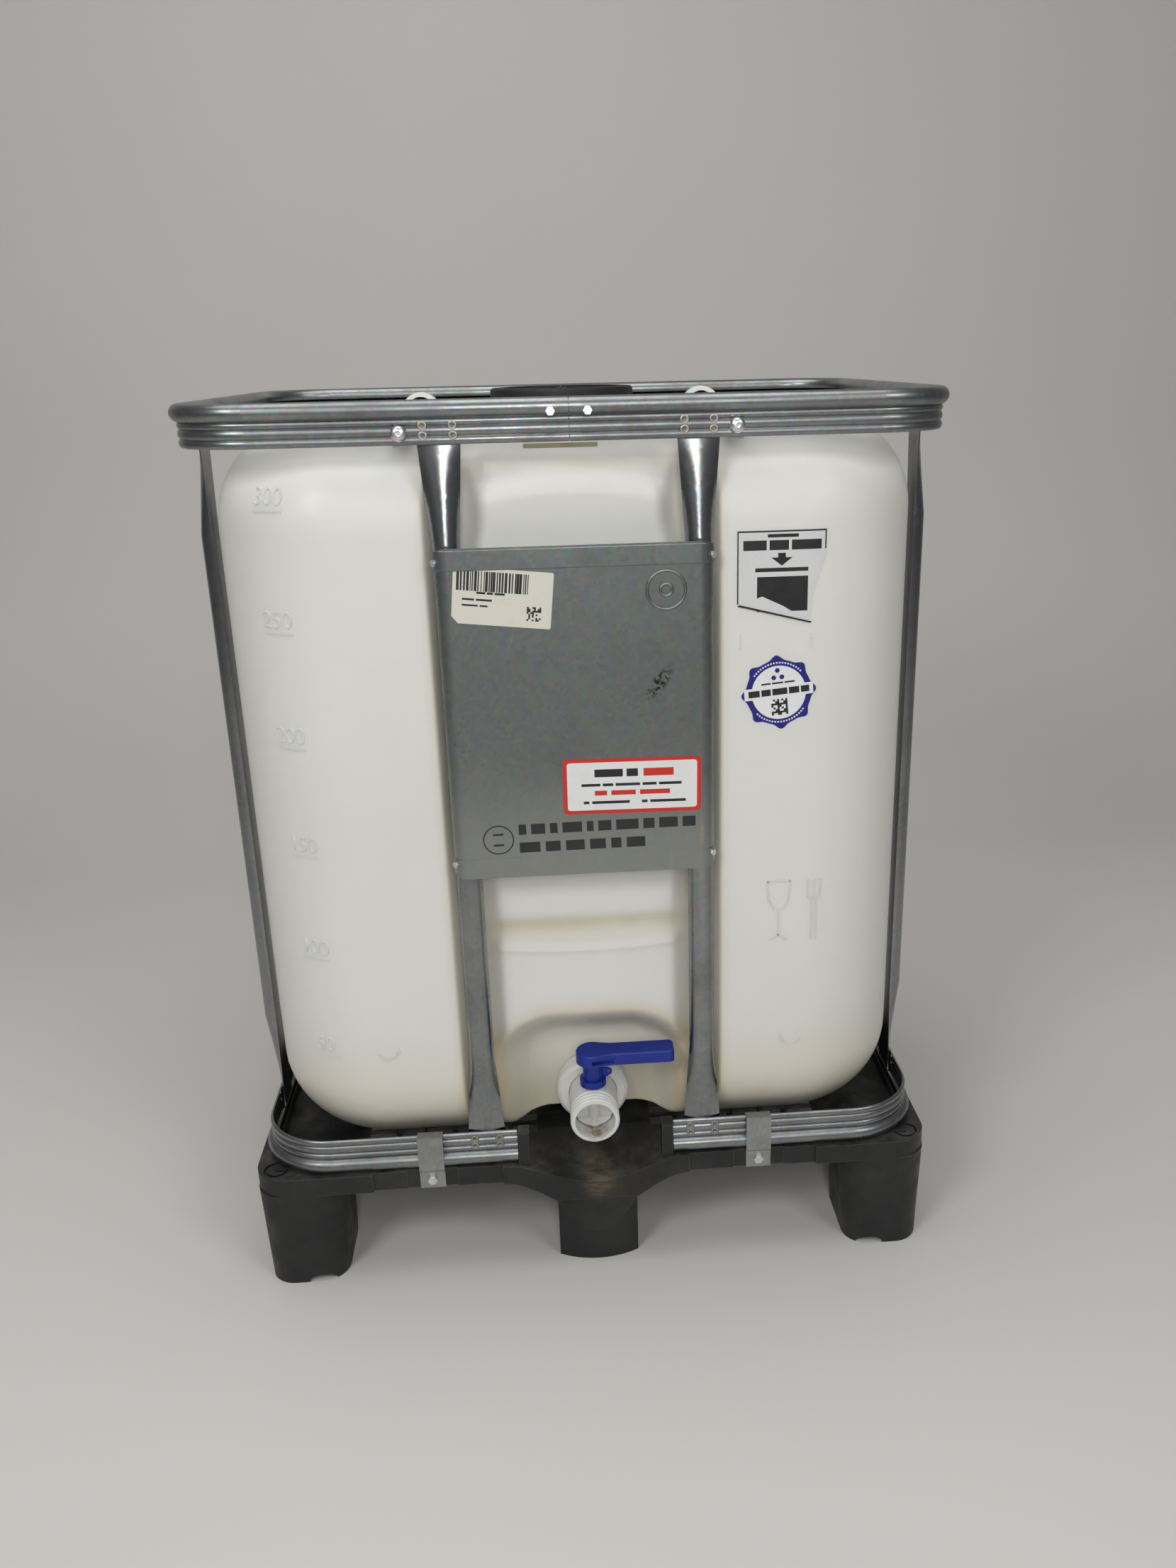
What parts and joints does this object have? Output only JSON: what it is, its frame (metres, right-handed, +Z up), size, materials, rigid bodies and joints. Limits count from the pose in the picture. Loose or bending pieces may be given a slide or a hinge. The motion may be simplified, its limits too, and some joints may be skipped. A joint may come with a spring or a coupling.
{
  "type": "intermediate bulk container",
  "caption": "Caged bulk liquid container: translucent plastic bottle in a steel post frame on a moulded pallet, with a screw lid and a lever outlet valve.",
  "frame": {"origin": "on the floor, under the middle of the pallet's footprint", "axes": "+Z up, +X to the right seen from the outlet side, outlet valve facing -Y"},
  "size_m": [0.8, 0.6, 1.008],
  "materials": {
    "pallet_plastic": "scuffed black recycled plastic",
    "bottle_plastic": "milky blow-moulded polyethylene",
    "lid_plastic": "black moulded polyethylene",
    "seal_rubber": "soft black seal",
    "galvanised_sheet": "galvanised roll-formed sheet",
    "galvanised_tube": "galvanised tube with spangle",
    "galvanised_bar": "galvanised strap",
    "clip_steel": "dull galvanised strip",
    "plate_steel": "dull galvanised sheet",
    "zinc_fastener": "bright zinc plate",
    "valve_plastic": "milky moulded polyethylene",
    "white_plastic": "white moulded polyethylene",
    "handle_plastic": "satin cobalt-blue moulded plastic"
  },
  "bodies": {
    "container": {"pallet": "pallet_plastic", "bottle": "bottle_plastic", "top_ring": "galvanised_sheet", "bottom_ring": "galvanised_sheet", "ring_joiner": "galvanised_sheet", "ring_screws": "zinc_fastener", "crossbar_left": "galvanised_bar", "crossbar_right": "galvanised_bar", "crossbar_bolts": "zinc_fastener", "crossbar_nuts": "zinc_fastener", "bar_loop_left": "white_plastic", "bar_loop_right": "white_plastic", "id_plate": "plate_steel", "plate_screws": "zinc_fastener", "clip_screws": "zinc_fastener", "valve_body": "valve_plastic", "valve_gasket": "seal_rubber", "union_nut": "white_plastic", "spindle_seal": "seal_rubber", "post_front_left": "galvanised_tube", "post_front_right": "galvanised_tube", "post_rear_left": "galvanised_tube", "post_rear_right": "galvanised_tube", "post_left_front": "galvanised_tube", "post_left_rear": "galvanised_tube", "post_right_front": "galvanised_tube", "post_right_rear": "galvanised_tube", "clip_front_left": "clip_steel", "clip_front_right": "clip_steel", "clip_rear_left": "clip_steel", "clip_rear_right": "clip_steel", "clip_left": "clip_steel", "clip_right": "clip_steel"},
    "handle": {"handle": "handle_plastic", "spindle": "white_plastic", "flap": "white_plastic", "flap_seal": "seal_rubber"},
    "lid_gasket": {"lid_gasket": "seal_rubber"},
    "lid": {"lid": "lid_plastic"}
  },
  "joints": [
    {"name": "handle_turn", "type": "hinge", "parent": "container", "child": "handle", "pos_m": [0, -0.264, 0.25], "axis": [0, 0, 1], "range_deg": [-90, 0]},
    {"name": "lid_lift", "type": "slide", "parent": "container", "child": "lid_gasket", "axis": [0, 0, 1], "range_m": [0, 0.03]},
    {"name": "lid_turn", "type": "hinge", "parent": "lid_gasket", "child": "lid", "pos_m": [0, 0, 1], "axis": [0, 0, 1], "range_deg": [0, 1080]}
  ],
  "couplings": [
    {"joint": "lid_lift", "follows": "lid_turn", "m_per_rad": 0.0015915}
  ]
}
